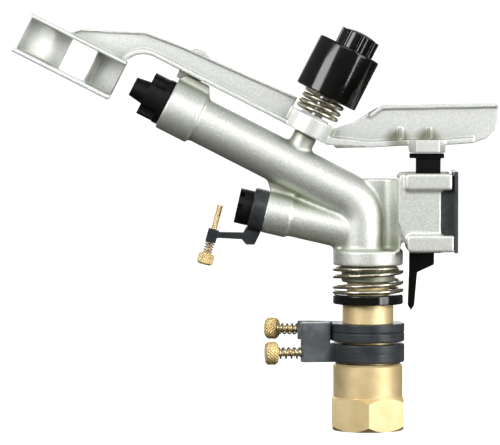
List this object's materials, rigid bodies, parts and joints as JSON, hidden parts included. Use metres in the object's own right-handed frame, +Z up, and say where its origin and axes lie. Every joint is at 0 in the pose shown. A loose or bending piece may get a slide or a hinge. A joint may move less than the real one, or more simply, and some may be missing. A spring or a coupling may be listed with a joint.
{
  "type": "impact sprinkler",
  "caption": "Part-circle impact rain gun: cast body with two barrels, sprung drive arm with spoon and counterweight, reversing lever, brass swivel socket and adjustable stop collars.",
  "frame": {"origin": "centre of the inlet socket's mouth, on the swivel axis", "axes": "+Z up along the swivel axis, the jets leave towards -X, the reversing mechanism is on the +X side"},
  "size_m": [0.3439, 0.058, 0.2956],
  "materials": {
    "brass": "satin, turned",
    "brass_screw": "satin, knurled",
    "cast_aluminium": "sand cast, bead blasted",
    "arm_aluminium": "cast, satin",
    "black_plastic": "moulded, matte",
    "collar_plastic": "moulded, satin",
    "gloss_black": "gloss",
    "spring_steel": "drawn wire",
    "steel": "machined",
    "rubber": "matte",
    "ptfe": "smooth"
  },
  "bodies": {
    "base": {"inlet_socket": "brass", "bearing_sleeve": "brass", "thrust_washers": "ptfe", "base_washer": "gloss_black", "base_spring": "spring_steel"},
    "upper_stop": {"upper_collar": "collar_plastic", "upper_collar_spring": "spring_steel"},
    "upper_screw": {"upper_collar_screw": "brass_screw"},
    "lower_stop": {"lower_collar": "collar_plastic", "lower_collar_spring": "spring_steel"},
    "lower_screw": {"lower_collar_screw": "brass_screw"},
    "head": {"gun_body": "cast_aluminium", "hollow_spindle": "brass", "jet_straightener": "black_plastic", "main_gasket": "rubber", "main_nozzle_cap": "black_plastic", "main_nozzle": "black_plastic", "side_gasket": "rubber", "side_nozzle_cap": "black_plastic", "side_nozzle": "black_plastic", "diffuser_bracket": "collar_plastic", "diffuser_spring": "spring_steel", "pivot_shaft": "steel", "shaft_nut": "steel", "trip_carrier": "collar_plastic", "trip_pin": "steel", "carrier_screws": "steel"},
    "drive_arm": {"drive_arm": "arm_aluminium", "arm_bushes": "ptfe", "arm_spring": "spring_steel"},
    "tension_cap": {"spring_cap": "gloss_black", "spring_seat": "black_plastic", "cap_knob": "gloss_black"},
    "trip": {"trip_lever": "black_plastic", "overcentre_spring": "spring_steel"},
    "diffuser_pin": {"diffuser_screw": "brass_screw"}
  },
  "joints": [
    {"name": "head_spin", "type": "hinge", "parent": "base", "child": "head", "pos_m": [0, 0, 0.1], "axis": [0, 0, 1], "continuous": true},
    {"name": "arm_swing", "type": "hinge", "parent": "head", "child": "drive_arm", "pos_m": [-0.0552, 0, 0.188], "axis": [-0.454, 0, -0.891], "range_deg": [0, 70], "stiffness_Nm_per_rad": 0.35, "springref_deg": -28.65},
    {"name": "trip_rock", "type": "hinge", "parent": "head", "child": "trip", "pos_m": [0.04, 0, 0.152], "axis": [-1, 0, 0], "range_deg": [0, 16]},
    {"name": "tension_turn", "type": "hinge", "parent": "head", "child": "tension_cap", "pos_m": [-0.0552, 0, 0.188], "axis": [-0.454, 0, -0.891], "range_deg": [-180, 180]},
    {"name": "upper_stop_turn", "type": "hinge", "parent": "base", "child": "upper_stop", "pos_m": [0, 0, 0.07], "axis": [0, 0, 1], "range_deg": [-145, 0]},
    {"name": "lower_stop_turn", "type": "hinge", "parent": "base", "child": "lower_stop", "pos_m": [0, 0, 0.055], "axis": [0, 0, 1], "range_deg": [0, 145]},
    {"name": "upper_screw_travel", "type": "slide", "parent": "upper_stop", "child": "upper_screw", "axis": [-0.9563, 0.2924, 0], "range_m": [0, 0.004]},
    {"name": "lower_screw_travel", "type": "slide", "parent": "lower_stop", "child": "lower_screw", "axis": [-0.9903, -0.1392, 0], "range_m": [0, 0.004]},
    {"name": "diffuser_travel", "type": "slide", "parent": "head", "child": "diffuser_pin", "axis": [0.2672, 0, 0.9636], "range_m": [-0.006, 0]}
  ]
}
